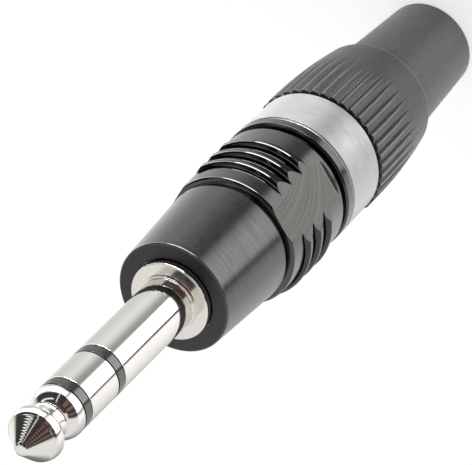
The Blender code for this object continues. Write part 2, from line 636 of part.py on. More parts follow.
def build():
    """Build the plug."""
    clear_scene()
    boot = add_frame("boot_frame")
    clamp = add_frame("chuck_frame")
    body = add_frame("housing_frame")
    nickel = finish("bright_nickel", (0.78, 0.75, 0.70), 0.12, 1.0)
    black_metal = finish("black_anodised", (0.025, 0.025, 0.028), 0.28, 0.6)
    silver = finish("satin_silver", (0.62, 0.63, 0.64), 0.38, 1.0)
    spring_steel = finish("spring_steel", (0.35, 0.35, 0.37), 0.35, 1.0)
    tinned = finish("tinned_brass", (0.66, 0.64, 0.60), 0.3, 1.0)
    insulator = finish("black_insulator", (0.02, 0.02, 0.022), 0.25, 0.0)
    carrier_plastic = finish("grey_carrier", (0.30, 0.31, 0.32), 0.5, 0.0)
    liner_film = finish("clear_liner", (0.75, 0.76, 0.72), 0.3, 0.0)
    chuck_plastic = finish("white_chuck", (0.80, 0.79, 0.75), 0.45, 0.0)
    nut_plastic = finish("grey_nut", (0.14, 0.14, 0.145), 0.6, 0.0)
    sleeve_rubber = finish("grey_sleeve", (0.17, 0.17, 0.175), 0.55, 0.0)

    turned("cable_sleeve", cable_sleeve_outline(), HULL_SEGMENTS, sleeve_rubber, boot)
    add_nut(nut_plastic, boot)
    add_chuck(chuck_plastic, clamp)
    turned("coding_ring", coding_ring_outline(), HULL_SEGMENTS, silver, body)
    add_housing(black_metal, body)
    add_retainer(spring_steel, body)
    turned("insulating_liner", tube(LINER_R - LINER_WALL, LINER_R, CARRIER_Z, CARRIER_TOP_Z),
           HULL_SEGMENTS - 8, liner_film, body)
    add_carrier(carrier_plastic, body)
    add_contact_set(nickel, insulator, tinned, body)


build()
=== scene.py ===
"""Visual model of the stereo jack plug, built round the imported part.

The axis is Z and the tip points up. Outlines are lists of (radius, height) or (radius, height, fillet).
Sizes are in millimetres and angles in degrees, unless a comment or the code says otherwise.
"""
import math

import bmesh
import bpy
from mathutils import Matrix, Vector


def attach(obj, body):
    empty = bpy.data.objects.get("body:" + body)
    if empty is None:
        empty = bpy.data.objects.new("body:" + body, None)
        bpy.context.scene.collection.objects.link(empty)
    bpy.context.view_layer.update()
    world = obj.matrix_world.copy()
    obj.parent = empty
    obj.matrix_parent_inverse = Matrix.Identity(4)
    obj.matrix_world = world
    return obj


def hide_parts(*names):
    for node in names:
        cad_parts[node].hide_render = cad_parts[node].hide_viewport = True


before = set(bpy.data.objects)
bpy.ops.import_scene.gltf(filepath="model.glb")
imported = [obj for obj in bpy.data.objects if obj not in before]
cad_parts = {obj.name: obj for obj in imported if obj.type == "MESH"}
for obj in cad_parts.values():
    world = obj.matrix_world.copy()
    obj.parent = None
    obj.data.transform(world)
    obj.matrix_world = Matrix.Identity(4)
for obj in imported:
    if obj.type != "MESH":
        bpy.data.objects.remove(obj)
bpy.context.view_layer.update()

MM = 0.001

# Camera, fitted to the circles of the photograph
CAMERA_AZIMUTH = -69.63
CAMERA_TILT = 42.485
CAMERA_ROLL = -134.74
CAMERA_DISTANCE = 548.77
CAMERA_AIM = (0.219, 0.082, 46.588)
CAMERA_LENS = 381.36
SENSOR_WIDTH = 36.0

# Facets round the axis
FINE = 224
MEDIUM = 160
COARSE = 96

# Heights of the joins
NUT_TAIL_Z = 14.2
NUT_RIM_Z = 27.7
THREAD_TOP_Z = 34.9
RING_REAR_Z = 28.05
RING_FRONT_Z = 34.45
FLANGE_REAR_Z = 34.55
FLANGE_FRONT_Z = 35.8
BAND_REAR_Z = 36.7
BAND_FRONT_Z = 39.35
CREST_Z = (45.29, 42.87, 40.45)
SHOULDER_REAR_Z = 45.94
SHOULDER_FRONT_Z = 48.4
NOSE_REAR_Z = 49.05
FACE_Z = 61.05
STOP_Z = 58.9
COLLAR_Z = 61.95
BOSS_Z = 62.35
SLEEVE_TOP_Z = 76.8
REAR_INSULATOR_Z = 76.9
RING_CONTACT_Z = 78.3
RING_CONTACT_TOP_Z = 83.7
FRONT_INSULATOR_Z = 83.8
TIP_Z = 85.2

# Radii that neighbours share
SHAFT_R = 3.175
BAND_R = 7.96
CREST_R = 8.5
FLANGE_R = 8.06
REGISTER_R = 6.8
THREAD_BORE_R = 5.95
BORE_R = 5.6
MOUTH_R = 4.84
THREAD_R = 5.65
NUT_BORE_R = 4.7
CABLE_BORE_R = 3.4
CHUCK_R = 4.45

# Flats of the housing and the path of the cutter that milled them
FLAT_COUNT = 3
FLAT_AZIMUTHS = [-90.0 + 360.0 / FLAT_COUNT * i for i in range(FLAT_COUNT)]
FLAT_DISTANCE = 7.6
FLAT_REAR_Z = 37.65
FLAT_FRONT_Z = 48.725
FLAT_HALF_WIDTH = 4.5
RUN_OUT_R = 0.575
SWEEP_Z = 48.0
SWEEP_R = 11.6

# Flutes of the nut
FLUTES = 40
FLUTE_AZIMUTH = 2.1
FLUTE_LENGTH = 9.1

# Outline helpers: when a corner counts as straight, the share of a side that a fillet may take,
# the turn of one facet and how far past a fillet its support point lies, as a share of it
STRAIGHT_ANGLE = math.radians(176)
FILLET_SHARE = 0.42
FILLET_FACET = 15
SUPPORT_SHARE = 0.25
SHORTEST_SIDE = 1e-6
ON_AXIS = 1e-9


# Mesh helpers

def link(name, data):
    item = bpy.data.objects.new(name, data)
    bpy.context.scene.collection.objects.link(item)
    return item


def mesh_from(bm, name):
    mesh = bpy.data.meshes.new(name)
    bm.to_mesh(mesh)
    bm.free()
    return mesh


def rounded(corners):
    """Return an outline whose corners (r, z, fillet) are rounded, with a support point beside each."""
    out = []
    count = len(corners)
    for i, corner in enumerate(corners):
        r, z, *rest = corner
        size = rest[0] if rest else 0.0
        here = Vector((r, z))
        before = Vector(corners[i - 1][:2]) - here
        after = Vector(corners[(i + 1) % count][:2]) - here
        if not size or before.length < SHORTEST_SIDE or after.length < SHORTEST_SIDE:
            out.append((r, z))
            continue
        a = before.normalized()
        b = after.normalized()
        angle = a.angle(b)
        if angle > STRAIGHT_ANGLE:
            out.append((r, z))
            continue
        most = FILLET_SHARE * min(before.length, after.length)
        reach = min(size / math.tan(angle / 2), most)
        radius = reach * math.tan(angle / 2)
        centre = here + (a + b).normalized() * (radius / math.sin(angle / 2))
        steps = max(2, math.ceil(math.degrees(math.pi - angle) / FILLET_FACET))
        first = here + a * reach - centre
        last = here + b * reach - centre
        turn = first.angle_signed(last)
        margin = SUPPORT_SHARE * reach
        out.append(tuple(here + a * (reach + margin)))
        for k in range(steps + 1):
            t = -turn * k / steps
            c, s = math.cos(t), math.sin(t)
            out.append((centre.x + first.x * c - first.y * s, centre.y + first.x * s + first.y * c))
        out.append(tuple(here + b * (reach + margin)))
    return out


def arc(centre_r, centre_z, radius_r, radius_z, start, end, steps):
    """Return points on an elliptical arc; 0 degrees points outward and 90 points up."""
    angles = [math.radians(start + (end - start) * i / steps) for i in range(steps + 1)]
    return [(centre_r + radius_r * math.cos(a), centre_z + radius_z * math.sin(a)) for a in angles]


def loft(name, rings, closed):
    """Skin rings of points. A ring of one point closes an end on the axis."""
    bm = bmesh.new()
    made = [[bm.verts.new(p) for p in ring] for ring in rings]
    pairs = list(zip(made, made[1:]))
    if closed:
        pairs.append((made[-1], made[0]))
    for one, two in pairs:
        count = max(len(one), len(two))
        for i in range(count):
            j = (i + 1) % count
            if len(one) == 1:
                bm.faces.new((one[0], two[i], two[j]))
            elif len(two) == 1:
                bm.faces.new((one[i], two[0], one[j]))
            else:
                bm.faces.new((one[i], two[i], two[j], one[j]))
    bmesh.ops.recalc_face_normals(bm, faces=bm.faces)
    return mesh_from(bm, name)


def turned(name, outline, segments):
    """Turn an outline round Z. It is closed on itself unless it starts and ends on the axis."""
    angles = [math.tau * i / segments for i in range(segments)]
    rings = []
    for r, z in outline:
        if r <= ON_AXIS:
            rings.append([(0.0, 0.0, z * MM)])
        else:
            rings.append([(r * MM * math.cos(a), r * MM * math.sin(a), z * MM) for a in angles])
    return link(name, loft(name, rings, outline[0][0] > ON_AXIS))


def box(name, low, high):
    """Add a box that cuts another piece or joins it."""
    bm = bmesh.new()
    bmesh.ops.create_cube(bm, size=1.0)
    for vert in bm.verts:
        vert.co = Vector([(high[k] if vert.co[k] > 0 else low[k]) * MM for k in range(3)])
    return link(name, mesh_from(bm, name))


def carve(item, cutters, operation="DIFFERENCE"):
    """Apply exact booleans and remove the cutters."""
    for cutter in cutters:
        step = item.modifiers.new("cut", "BOOLEAN")
        step.solver = "EXACT"
        step.operation = operation
        step.object = cutter
        mesh = bpy.data.meshes.new_from_object(item.evaluated_get(bpy.context.evaluated_depsgraph_get()))
        item.modifiers.clear()
        item.data = mesh
        bpy.data.objects.remove(cutter, do_unlink=True)
    item.data.name = item.name


def smooth(item, angle=32.0):
    """Shade a piece smooth, with sharp edges where it turns by more than the angle."""
    item.data.shade_smooth()
    item.data.set_sharp_from_angle(angle=math.radians(angle))


# Node helpers

class Nodes:
    """A node tree and helpers that add nodes to it."""

    def __init__(self, tree):
        self.tree = tree

    def node(self, kind, **settings):
        made = self.tree.nodes.new(kind)
        for key, value in settings.items():
            setattr(made, key, value)
        return made

    def feed(self, socket, value):
        """Join a socket to another one, or give it a value."""
        if isinstance(value, bpy.types.NodeSocket):
            self.tree.links.new(value, socket)
        else:
            socket.default_value = value

    def maths(self, operation, a, b=0.0, clamp=False):
        made = self.node("ShaderNodeMath", operation=operation, use_clamp=clamp)
        self.feed(made.inputs[0], a)
        self.feed(made.inputs[1], b)
        return made.outputs[0]

    def span(self, value, low, high, to_low=0.0, to_high=1.0):
        """Map the range from low to high to another one, and stay inside it."""
        made = self.node("ShaderNodeMapRange", clamp=True)
        for key, number in (("Value", value), ("From Min", low), ("From Max", high),
                            ("To Min", to_low), ("To Max", to_high)):
            self.feed(made.inputs[key], number)
        return made.outputs["Result"]

    def mix(self, factor, one, two):
        """Blend from one colour to another; each is a socket or three numbers."""
        made = self.node("ShaderNodeMix", data_type="RGBA")
        self.feed(made.inputs["Factor"], factor)
        for key, colour in (("A", one), ("B", two)):
            is_socket = isinstance(colour, bpy.types.NodeSocket)
            self.feed(made.inputs[key], colour if is_socket else (*colour, 1.0))
        return made.outputs["Result"]

    def split(self, vector):
        """Return the X, Y and Z outputs of a vector."""
        made = self.node("ShaderNodeSeparateXYZ")
        self.tree.links.new(vector, made.inputs[0])
        return made.outputs


class Shader(Nodes):
    """A material with a Principled shader, whose textures lie in object space."""

    def __init__(self, material):
        super().__init__(material.node_tree)
        self.material = material
        self.main = self.tree.nodes["Principled BSDF"]
        self.place = self.node("ShaderNodeTexCoord").outputs["Object"]

    @classmethod
    def new(cls, name, **constants):
        """Start a material, with values for the shader's own sockets."""
        material = bpy.data.materials.new(name)
        material.use_nodes = True
        made = cls(material)
        for key, value in constants.items():
            made.main.inputs[key.replace("_", " ")].default_value = value
        return made

    def noise_on(self, vector, detail, rough, distortion=0.0):
        made = self.node("ShaderNodeTexNoise")
        self.tree.links.new(vector, made.inputs["Vector"])
        made.inputs["Scale"].default_value = 1.0
        made.inputs["Detail"].default_value = detail
        made.inputs["Roughness"].default_value = rough
        made.inputs["Distortion"].default_value = distortion
        return made.outputs["Fac"]

    def noise(self, scale, detail=3.0, rough=0.55, distortion=0.0):
        """Noise with a scale for each axis, in features per metre."""
        made = self.node("ShaderNodeMapping")
        made.inputs["Scale"].default_value = scale
        self.tree.links.new(self.place, made.inputs["Vector"])
        return self.noise_on(made.outputs["Vector"], detail, rough, distortion)

    def streaks(self, pitch, run, detail=4.0):
        """Turning marks round the axis: as fine as the pitch along Z, and as long as the run round it."""
        return self.noise((1 / (run * MM), 1 / (run * MM), 1 / (pitch * MM)), detail)

    def painted_sheen_mask(self, low, high):
        """0 where the surface faces the view and 1 towards its outline; it places a painted sheen."""
        made = self.node("ShaderNodeLayerWeight")
        made.inputs["Blend"].default_value = 0.5
        return self.span(made.outputs["Facing"], low, high)

    def set(self, key, value):
        self.feed(self.main.inputs[key], value)

    def bump(self, height, distance):
        """Set the normal from a height between 0 and 1 that stands for the distance."""
        made = self.node("ShaderNodeBump")
        made.inputs["Distance"].default_value = distance * MM
        self.feed(made.inputs["Height"], height)
        self.set("Normal", made.outputs["Normal"])


# Materials

def nickel():
    s = Shader.new("nickel_plate", Metallic=1.0, Specular_Tint=(0.88, 0.875, 0.865, 1.0))
    cloud = s.noise((220.0, 220.0, 160.0), 2.0)
    fine = s.streaks(0.06, 5.0)
    s.set("Base Color", s.mix(s.span(cloud, 0.35, 0.65), (0.775, 0.757, 0.722), (0.81, 0.795, 0.765)))
    s.set("Roughness", s.span(fine, 0.3, 0.7, 0.045, 0.11))
    s.bump(fine, 0.0006)
    return s.material


def nickel_face():
    """The collar's turned front: the same plate with a satin finish."""
    s = Shader.new("nickel_face", Metallic=1.0)
    grain = s.noise((5200.0, 5200.0, 300.0), 3.0)
    s.set("Base Color", s.mix(s.span(grain, 0.3, 0.7), (0.73, 0.71, 0.665), (0.8, 0.78, 0.735)))
    s.set("Roughness", s.span(grain, 0.3, 0.7, 0.1, 0.2))
    s.bump(grain, 0.0016)
    return s.material


def black_metal():
    """Glossy turned metal with a painted pale sheen towards its outline. The ridges are painted darker, as
    painted shade, and are smoother than the rest.
    """
    s = Shader.new("black_metal", Metallic=1.0)
    fine = s.streaks(0.07, 2.2)
    broad = s.streaks(0.16, 2.6, 3.0)
    height = s.split(s.place)["Z"]
    past_band = s.span(height, (BAND_FRONT_Z + 0.1) * MM, (BAND_FRONT_Z + 0.4) * MM)
    before_shoulder = s.span(height, (SHOULDER_REAR_Z + 0.3) * MM, SHOULDER_REAR_Z * MM)
    ridges = s.maths("MULTIPLY", past_band, before_shoulder)

    def less_on_ridges(value, share):
        return s.maths("MULTIPLY", value, s.span(ridges, 0.0, 1.0, 1.0, share))

    plain = s.mix(s.span(broad, 0.3, 0.7), (0.074, 0.074, 0.079), (0.106, 0.105, 0.104))
    # Painted shade: the ridges' colour is darkened towards near black.
    dark = s.mix(s.maths("MULTIPLY", ridges, 0.45), plain, (0.03, 0.03, 0.031))
    # Painted sheen: the colour turns paler towards the outline, less so on the ridges.
    s.set("Base Color", s.mix(less_on_ridges(s.painted_sheen_mask(0.38, 0.65), 0.4), dark, (0.22, 0.22, 0.228)))
    s.set("Roughness", less_on_ridges(s.span(fine, 0.25, 0.75, 0.12, 0.25), 0.45))
    s.bump(less_on_ridges(fine, 0.25), 0.0034)
    return s.material


def black_face():
    """The nose's front, a duller black."""
    s = Shader.new("black_face", Metallic=0.6)
    grain = s.noise((9000.0, 9000.0, 9000.0), 3.0)
    s.set("Base Color", s.mix(s.span(grain, 0.3, 0.7), (0.035, 0.035, 0.036), (0.048, 0.048, 0.05)))
    s.set("Roughness", s.span(grain, 0.3, 0.7, 0.34, 0.46))
    s.bump(grain, 0.002)
    return s.material


def flat_width(s, axes):
    """Place across the nearest flat, in metres, growing as the azimuth does."""
    sector = math.tau / FLAT_COUNT
    azimuth = s.maths("ARCTAN2", axes["Y"], axes["X"])
    turn = s.maths("ADD", azimuth, sector / 2 - math.radians(FLAT_AZIMUTHS[0]))
    share = s.maths("FRACT", s.maths("ADD", s.maths("DIVIDE", turn, sector), FLAT_COUNT))
    angle = s.maths("MULTIPLY", s.maths("SUBTRACT", share, 0.5), sector)
    return s.maths("MULTIPLY", s.maths("TANGENT", angle), FLAT_DISTANCE * MM)


def milled():
    """Fly-cut flats: equal arcs, one beside the other, with lines in features per metre."""
    across_lines, along_lines = 6500.0, 60.0
    s = Shader.new("milled_flat", Metallic=0.9)
    axes = s.split(s.place)
    along = s.maths("SUBTRACT", axes["Z"], SWEEP_Z * MM)
    sag = s.maths("SUBTRACT", (SWEEP_R * MM) ** 2, s.maths("MULTIPLY", along, along))
    reach = s.maths("ADD", flat_width(s, axes), s.maths("SQRT", s.maths("MAXIMUM", sag, 0.0)))
    join = s.node("ShaderNodeCombineXYZ")
    s.feed(join.inputs["X"], s.maths("MULTIPLY", reach, across_lines))
    s.feed(join.inputs["Y"], s.maths("MULTIPLY", axes["Z"], along_lines))
    fine = s.noise_on(join.outputs[0], 5.0, 0.7)
    s.set("Base Color", s.mix(s.span(fine, 0.35, 0.7), (0.082, 0.081, 0.078), (0.172, 0.17, 0.163)))
    s.set("Roughness", s.span(fine, 0.3, 0.7, 0.26, 0.4))
    s.bump(fine, 0.006)
    return s.material


def satin_silver():
    s = Shader.new("satin_silver", Metallic=1.0)
    fine = s.streaks(0.05, 3.0)
    patches = s.noise((420.0, 420.0, 900.0), 4.0, 0.65, 0.4)
    satin = s.mix(s.span(patches, 0.35, 0.65), (0.36, 0.364, 0.368), (0.45, 0.45, 0.446))
    # Painted sheen: the colour turns paler towards the outline.
    s.set("Base Color", s.mix(s.painted_sheen_mask(0.38, 0.75), satin, (0.76, 0.765, 0.765)))
    s.set("Roughness", s.span(fine, 0.3, 0.7, 0.4, 0.54))
    s.bump(fine, 0.003)
    return s.material


def insulator():
    s = Shader.new("black_insulator", IOR=2.0)
    fine = s.streaks(0.08, 4.0)
    s.set("Base Color", s.mix(s.span(fine, 0.3, 0.7), (0.014, 0.014, 0.016), (0.024, 0.024, 0.026)))
    s.set("Roughness", s.span(fine, 0.3, 0.7, 0.07, 0.14))
    s.bump(fine, 0.001)
    return s.material


def moulded(name, one, two, low, high, grain_size, depth, haze=0.0):
    """A moulded plastic or rubber: two close colours and a grain with dark and pale specks."""
    s = Shader.new(name, Sheen_Weight=haze, Sheen_Roughness=0.35)
    scale = 1 / (grain_size * MM)
    grain = s.noise((scale, scale, scale), 3.0, 0.6)
    cloud = s.noise((350.0, 350.0, 250.0), 3.0)
    colour = s.mix(s.span(cloud, 0.3, 0.7), one, two)
    dark_speck = tuple(0.5 * c for c in one)
    pale_speck = tuple(min(1.0, 1.6 * c) for c in two)
    specked = s.mix(s.span(grain, 0.5, 0.36, 0.0, 0.55), colour, dark_speck)
    s.set("Base Color", s.mix(s.span(grain, 0.51, 0.65, 0.0, 0.5), specked, pale_speck))
    s.set("Roughness", s.span(cloud, 0.3, 0.7, low, high))
    s.bump(grain, depth)
    return s.material


def fluted(material):
    """Paint a highlight on the crests of the nut's flutes and on the lip beside each groove, and paint shade
    on their steep flanks.
    """
    fade_rear_z, fade_front_z = 19.2, 22.5
    s = Shader(material)
    axes = s.split(s.place)
    turn = s.maths("MULTIPLY", s.maths("ARCTAN2", axes["Y"], axes["X"]), FLUTES / math.tau)
    share = s.maths("FRACT", s.maths("ADD", turn, FLUTES - FLUTE_AZIMUTH * FLUTES / 360))
    along = s.span(axes["Z"], fade_rear_z * MM, fade_front_z * MM)
    wander = s.maths("MULTIPLY", s.maths("SUBTRACT", s.noise((60.0, 60.0, 900.0), 3.0), 0.5), 0.05)
    share = s.maths("ADD", share, wander)

    def near(middle, reach):
        """1 where the share of a flute is close to the middle, on the fluted stretch only."""
        distance = s.maths("ABSOLUTE", s.maths("SUBTRACT", share, middle))
        return s.maths("MULTIPLY", s.span(distance, reach, 0.4 * reach), along)

    # Masks for the painted highlight on crest and lip and for the painted shade on the flank.
    crest = near(0.75, 0.085)
    lip = near(0.1, 0.06)
    flank = near(0.92, 0.12)
    plain = s.main.inputs["Base Color"].links[0].from_socket
    # Painted highlight, pale grey, on crests and lips; painted shade, near black, on the flanks.
    pale = s.maths("MULTIPLY", s.maths("ADD", crest, s.maths("MULTIPLY", lip, 0.5)), 0.8, True)
    with_painted_highlights = s.mix(pale, plain, (0.58, 0.58, 0.585))
    s.set("Base Color", s.mix(s.maths("MULTIPLY", flank, 0.75), with_painted_highlights, (0.025, 0.025, 0.026)))
    return material


def bare_metal(name, one, two, low, high):
    s = Shader.new(name, Metallic=1.0)
    grain = s.noise((2500.0, 2500.0, 2500.0), 3.0)
    s.set("Base Color", s.mix(s.span(grain, 0.3, 0.7), one, two))
    s.set("Roughness", s.span(grain, 0.3, 0.7, low, high))
    s.bump(grain, 0.002)
    return s.material


looks = {
    "nickel": nickel(),
    "nickel_face": nickel_face(),
    "black_metal": black_metal(),
    "black_face": black_face(),
    "milled": milled(),
    "silver": satin_silver(),
    "insulator": insulator(),
    "joint": moulded("joint_shadow", (0.006, 0.006, 0.006), (0.01, 0.01, 0.01), 0.6, 0.7, 0.05, 0.002),
    "spring_steel": bare_metal("spring_steel_blank", (0.30, 0.30, 0.32), (0.42, 0.42, 0.43), 0.22, 0.38),
    "tinned": bare_metal("tinned_brass", (0.60, 0.585, 0.55), (0.72, 0.70, 0.66), 0.2, 0.42),
    "carrier": moulded("grey_carrier", (0.27, 0.28, 0.29), (0.33, 0.34, 0.35), 0.42, 0.55, 0.12, 0.004),
    "liner": moulded("milky_liner", (0.72, 0.73, 0.69), (0.78, 0.79, 0.75), 0.28, 0.4, 0.3, 0.001),
    "chuck": moulded("natural_chuck", (0.76, 0.75, 0.71), (0.83, 0.82, 0.78), 0.36, 0.5, 0.15, 0.002),
    "nut": fluted(moulded("grey_nut", (0.132, 0.132, 0.138), (0.168, 0.168, 0.172),
                          0.36, 0.5, 0.2, 0.034, haze=0.27)),
    # Painted shade for the nut rim's front; on the next line, a painted highlight for the nut tail's edge.
    "nut_rim_painted_shade": moulded("rim_painted_shade", (0.012, 0.012, 0.012), (0.02, 0.02, 0.02), 0.5, 0.6, 0.1, 0.01),
    "nut_tail_painted_highlight": moulded("tail_painted_highlight", (0.5, 0.5, 0.505), (0.6, 0.6, 0.605), 0.4, 0.5, 0.1, 0.004),
    "sleeve": moulded("soft_sleeve", (0.168, 0.168, 0.177), (0.2, 0.2, 0.21),
                      0.4, 0.52, 0.19, 0.024, haze=0.38),
}


def dress(item, *keys):
    """Give a piece several materials, which its faces then name by number."""
    item.data.materials.clear()
    for key in keys:
        item.data.materials.append(looks[key])


def place(item, body, slot, *nodes):
    """Give a piece its material and body, and hide the nodes it stands for."""
    if not item.data.materials:
        item.data.materials.append(looks[slot])
    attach(item, body)
    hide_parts(*nodes)


# Contact set

HEAD_R = 3.2
HEAD_Z = TIP_Z + 4.6
HEAD_ROUND = 0.62
HEAD_UNDERSIDE = 0.85
NECK_R = 2.05
NECK_FILLET_Z = 0.5
TIP_TOP_Z = 93.55
TIP_ROUND = 1.15
CONE_ANGLE = math.radians(41.0)
CONE_BASE_R = 2.82
CONE_MARK_PITCH = 0.24
CONE_MARK = 0.0026
CONE_STEPS = 76
BULB_R = 2.5
BULB_Z = TIP_Z + 0.08
BULB_TURN = 52.0
BULB_END_R = HEAD_R - BULB_R + BULB_R * math.cos(math.radians(BULB_TURN))
BULB_END_Z = BULB_Z + BULB_R * math.sin(math.radians(BULB_TURN))
ROD_R = 0.75
RIVET_R = 1.35
RIVET_FRONT_Z = 52.4
RIVET_REAR_Z = 51.7
CONTACT_EDGE = 0.06

INSULATOR_LENGTH = 1.3
FRONT_INSULATOR_BORE_R = 1.35
REAR_INSULATOR_BORE_R = 1.9
JOINT_DEPTH = 0.06
JOINT_WIDTH = 0.07
JOINT_EDGE = 0.025

RING_CONTACT_BORE_R = 1.35
RING_TUBE_R = 1.8
RING_TUBE_REAR_Z = 54.0

SLEEVE_BORE_R = 2.4
BOSS_R = 3.35
COLLAR_R = 4.72
COLLAR_REAR_Z = COLLAR_Z - 1.4
SPIGOT_R = 4.54
STOP_FLANGE_R = 5.4
STOP_FLANGE_FRONT_Z = 58.7
STOP_FLANGE_REAR_Z = 57.7
SLEEVE_TAIL_R = 4.1
SLEEVE_TAIL_Z = 56.1


def tip_outline():
    """Nose, cone with turning marks, head, neck, bulb, rod and the rivet at its end."""
    nose_z = TIP_TOP_Z - TIP_ROUND
    apex_z = nose_z + TIP_ROUND / math.sin(CONE_ANGLE)
    base_z = apex_z - CONE_BASE_R / math.tan(CONE_ANGLE)
    start_z = nose_z + TIP_ROUND * math.sin(CONE_ANGLE)
    nose = arc(0.0, nose_z, TIP_ROUND, TIP_ROUND, 90, math.degrees(CONE_ANGLE), 10)
    nose[0] = (0.0, TIP_TOP_Z)
    cone = []
    for i in range(1, CONE_STEPS):
        z = start_z + (base_z - start_z) * i / CONE_STEPS
        mark = CONE_MARK * math.sin(math.tau * (start_z - z) / CONE_MARK_PITCH)
        r = (apex_z - z) * math.tan(CONE_ANGLE)
        cone.append((r + mark * math.cos(CONE_ANGLE), z + mark * math.sin(CONE_ANGLE)))
    shoulder = [(CONE_BASE_R, base_z)]
    shoulder += arc(HEAD_R - HEAD_ROUND, HEAD_Z, HEAD_ROUND, base_z - HEAD_Z + 0.12, 68, 0, 12)
    underside = arc(NECK_R, HEAD_Z, HEAD_R - NECK_R, HEAD_UNDERSIDE, -4, -90, 14)
    neck = arc(BULB_END_R, BULB_END_Z + NECK_FILLET_Z, BULB_END_R - NECK_R, NECK_FILLET_Z, 180, 268, 8)
    bulb = arc(HEAD_R - BULB_R, BULB_Z, BULB_R, BULB_R, BULB_TURN, 0, 16)
    rear = rounded([(HEAD_R, TIP_Z + 0.5), (SHAFT_R - 0.02, TIP_Z, CONTACT_EDGE), (ROD_R, TIP_Z),
                    (ROD_R, RIVET_FRONT_Z)])[1:]
    rivet = arc(0.0, RIVET_FRONT_Z, RIVET_R, RIVET_FRONT_Z - RIVET_REAR_Z, 0, -90, 10)
    rivet[-1] = (0.0, RIVET_REAR_Z)
    return nose + cone + shoulder + underside + neck + bulb + rear + rivet


def build_insulator(name, low, bore_r):
    """An insulating ring of the shaft with a fine groove at each joint."""
    high = low + INSULATOR_LENGTH
    floor = SHAFT_R - JOINT_DEPTH
    item = turned(name, rounded([
        (bore_r, high), (floor, high), (floor, high - JOINT_WIDTH),
        (SHAFT_R, high - JOINT_WIDTH, JOINT_EDGE), (SHAFT_R, low + JOINT_WIDTH, JOINT_EDGE),
        (floor, low + JOINT_WIDTH), (floor, low), (bore_r, low)]), MEDIUM)
    smooth(item)
    dress(item, "insulator", "joint")
    half = INSULATOR_LENGTH / 2
    for face in item.data.polygons:
        if abs(face.center.z / MM - low - half) > half - JOINT_WIDTH - 0.01:
            face.material_index = 1
    return item


def build_sleeve_contact():
    item = turned("sleeve_contact_visual", rounded([
        (SLEEVE_BORE_R, SLEEVE_TOP_Z), (SHAFT_R, SLEEVE_TOP_Z, CONTACT_EDGE), (SHAFT_R, BOSS_Z + 0.02, 0.08),
        (BOSS_R, BOSS_Z, 0.06), (BOSS_R + 0.02, COLLAR_Z, 0.05), (COLLAR_R, COLLAR_Z, 0.16),
        (COLLAR_R, COLLAR_REAR_Z, 0.05), (SPIGOT_R, COLLAR_REAR_Z), (SPIGOT_R, STOP_FLANGE_FRONT_Z),
        (STOP_FLANGE_R, STOP_FLANGE_FRONT_Z, 0.08), (STOP_FLANGE_R, STOP_FLANGE_REAR_Z, 0.08),
        (SLEEVE_TAIL_R, STOP_FLANGE_REAR_Z), (SLEEVE_TAIL_R, SLEEVE_TAIL_Z, 0.08),
        (SLEEVE_BORE_R, SLEEVE_TAIL_Z)]), FINE)
    smooth(item)
    dress(item, "nickel", "nickel_face")
    for face in item.data.polygons:
        if face.normal.z > 0.8 and abs(face.center.z / MM - COLLAR_Z) < 0.1:
            face.material_index = 1
    return item


tip = turned("tip_visual", tip_outline(), MEDIUM)
smooth(tip)
place(tip, "plug", "nickel", "tip_contact")

front_insulator = build_insulator("front_insulator_visual", FRONT_INSULATOR_Z, FRONT_INSULATOR_BORE_R)
place(front_insulator, "plug", "insulator", "front_insulator")
rear_insulator = build_insulator("rear_insulator_visual", REAR_INSULATOR_Z, REAR_INSULATOR_BORE_R)
place(rear_insulator, "plug", "insulator", "rear_insulator")

ring_contact = turned("ring_contact_visual", rounded([
    (RING_CONTACT_BORE_R, RING_CONTACT_TOP_Z), (SHAFT_R, RING_CONTACT_TOP_Z, CONTACT_EDGE),
    (SHAFT_R, RING_CONTACT_Z, CONTACT_EDGE), (RING_TUBE_R, RING_CONTACT_Z), (RING_TUBE_R, RING_TUBE_REAR_Z),
    (RING_CONTACT_BORE_R, RING_TUBE_REAR_Z)]), MEDIUM)
smooth(ring_contact)
place(ring_contact, "plug", "nickel", "ring_contact")

place(build_sleeve_contact(), "plug", "nickel", "sleeve_contact")


# Housing

RIDGE_FRONT = 0.65
RIDGE_FOOT_R = BAND_R + 0.01
RIDGE_TOE = 0.2
RIDGE_REAR_POWER = 1.35
CREST_ROUND = 0.66
CREST_TURN = 66
NOSE_FRONT_R = 6.7
NOSE_REAR_R = 7.4
FRONT_GROOVE_R = 6.95
REAR_GROOVE_R = 7.0
RELIEF_R = 6.15
RELIEF_TOP_Z = 35.7
CLIP_GROOVE_R = 6.05
CLIP_GROOVE_REAR_Z = 56.8
CLIP_GROOVE_FRONT_Z = 57.7
KEYWAY_HALF_WIDTH = 1.25
KEYWAY_REAR_Z = 35.3
KEYWAY_FRONT_Z = 45.7


def ridge_outline(crest_z, foot_z):
    """One grip ridge from its front foot over the crest to the foot behind it."""
    front_z = crest_z + RIDGE_FRONT
    out = [(RIDGE_FOOT_R, front_z)]
    for i in range(1, 7):
        a = math.radians(12 * i)
        out.append((RIDGE_FOOT_R + RIDGE_TOE * (1 - math.cos(a)), front_z - RIDGE_TOE * math.sin(a) * 0.8))
    for i in range(10):
        a = math.radians(CREST_TURN - CREST_TURN * i / 9)
        out.append((CREST_R - CREST_ROUND * (1 - math.cos(a)), crest_z + CREST_ROUND * math.sin(a)))
    for i in range(1, 13):
        u = i / 12
        out.append((CREST_R - (CREST_R - BAND_R) * u ** RIDGE_REAR_POWER, crest_z + (foot_z - crest_z) * u))
    return out


